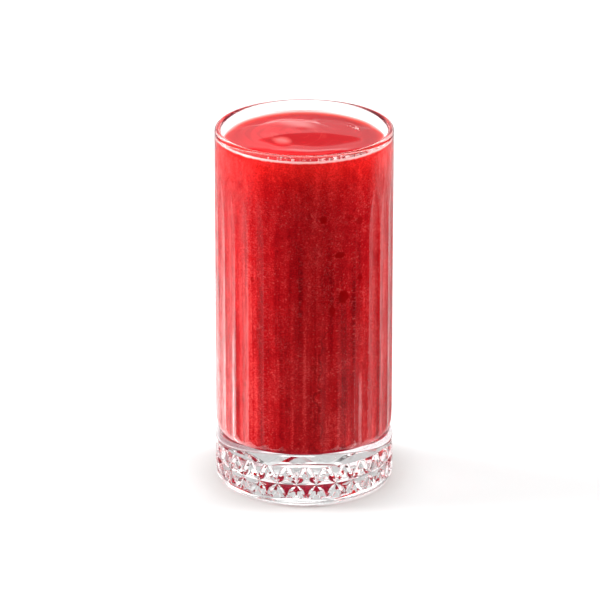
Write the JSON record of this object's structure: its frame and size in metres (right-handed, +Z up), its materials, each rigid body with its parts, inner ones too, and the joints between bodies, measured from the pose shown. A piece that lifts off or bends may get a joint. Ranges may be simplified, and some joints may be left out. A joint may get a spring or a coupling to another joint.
{
  "type": "raspberry smoothie in a glass",
  "caption": "Thick red raspberry smoothie filled nearly to the rim of a tall straight clear glass with shallow upright flutes and a star-cut foot ring.",
  "frame": {"origin": "middle of the underside of the foot, on the surface the glass stands on", "axes": "+Z up along the glass's axis; -Y is the side the picture looks from; +X is to its right"},
  "size_m": [0.0736, 0.0736, 0.1526],
  "materials": {
    "clear_glass": "clear pressed soda-lime glass, fire polished, with rounded edges",
    "smoothie": "thick blended raspberry drink, opaque deep red with fine pale and dark specks, wet and softly glossy on top"
  },
  "bodies": {
    "root": {"glass": "clear_glass", "smoothie": "smoothie"}
  },
  "joints": []
}
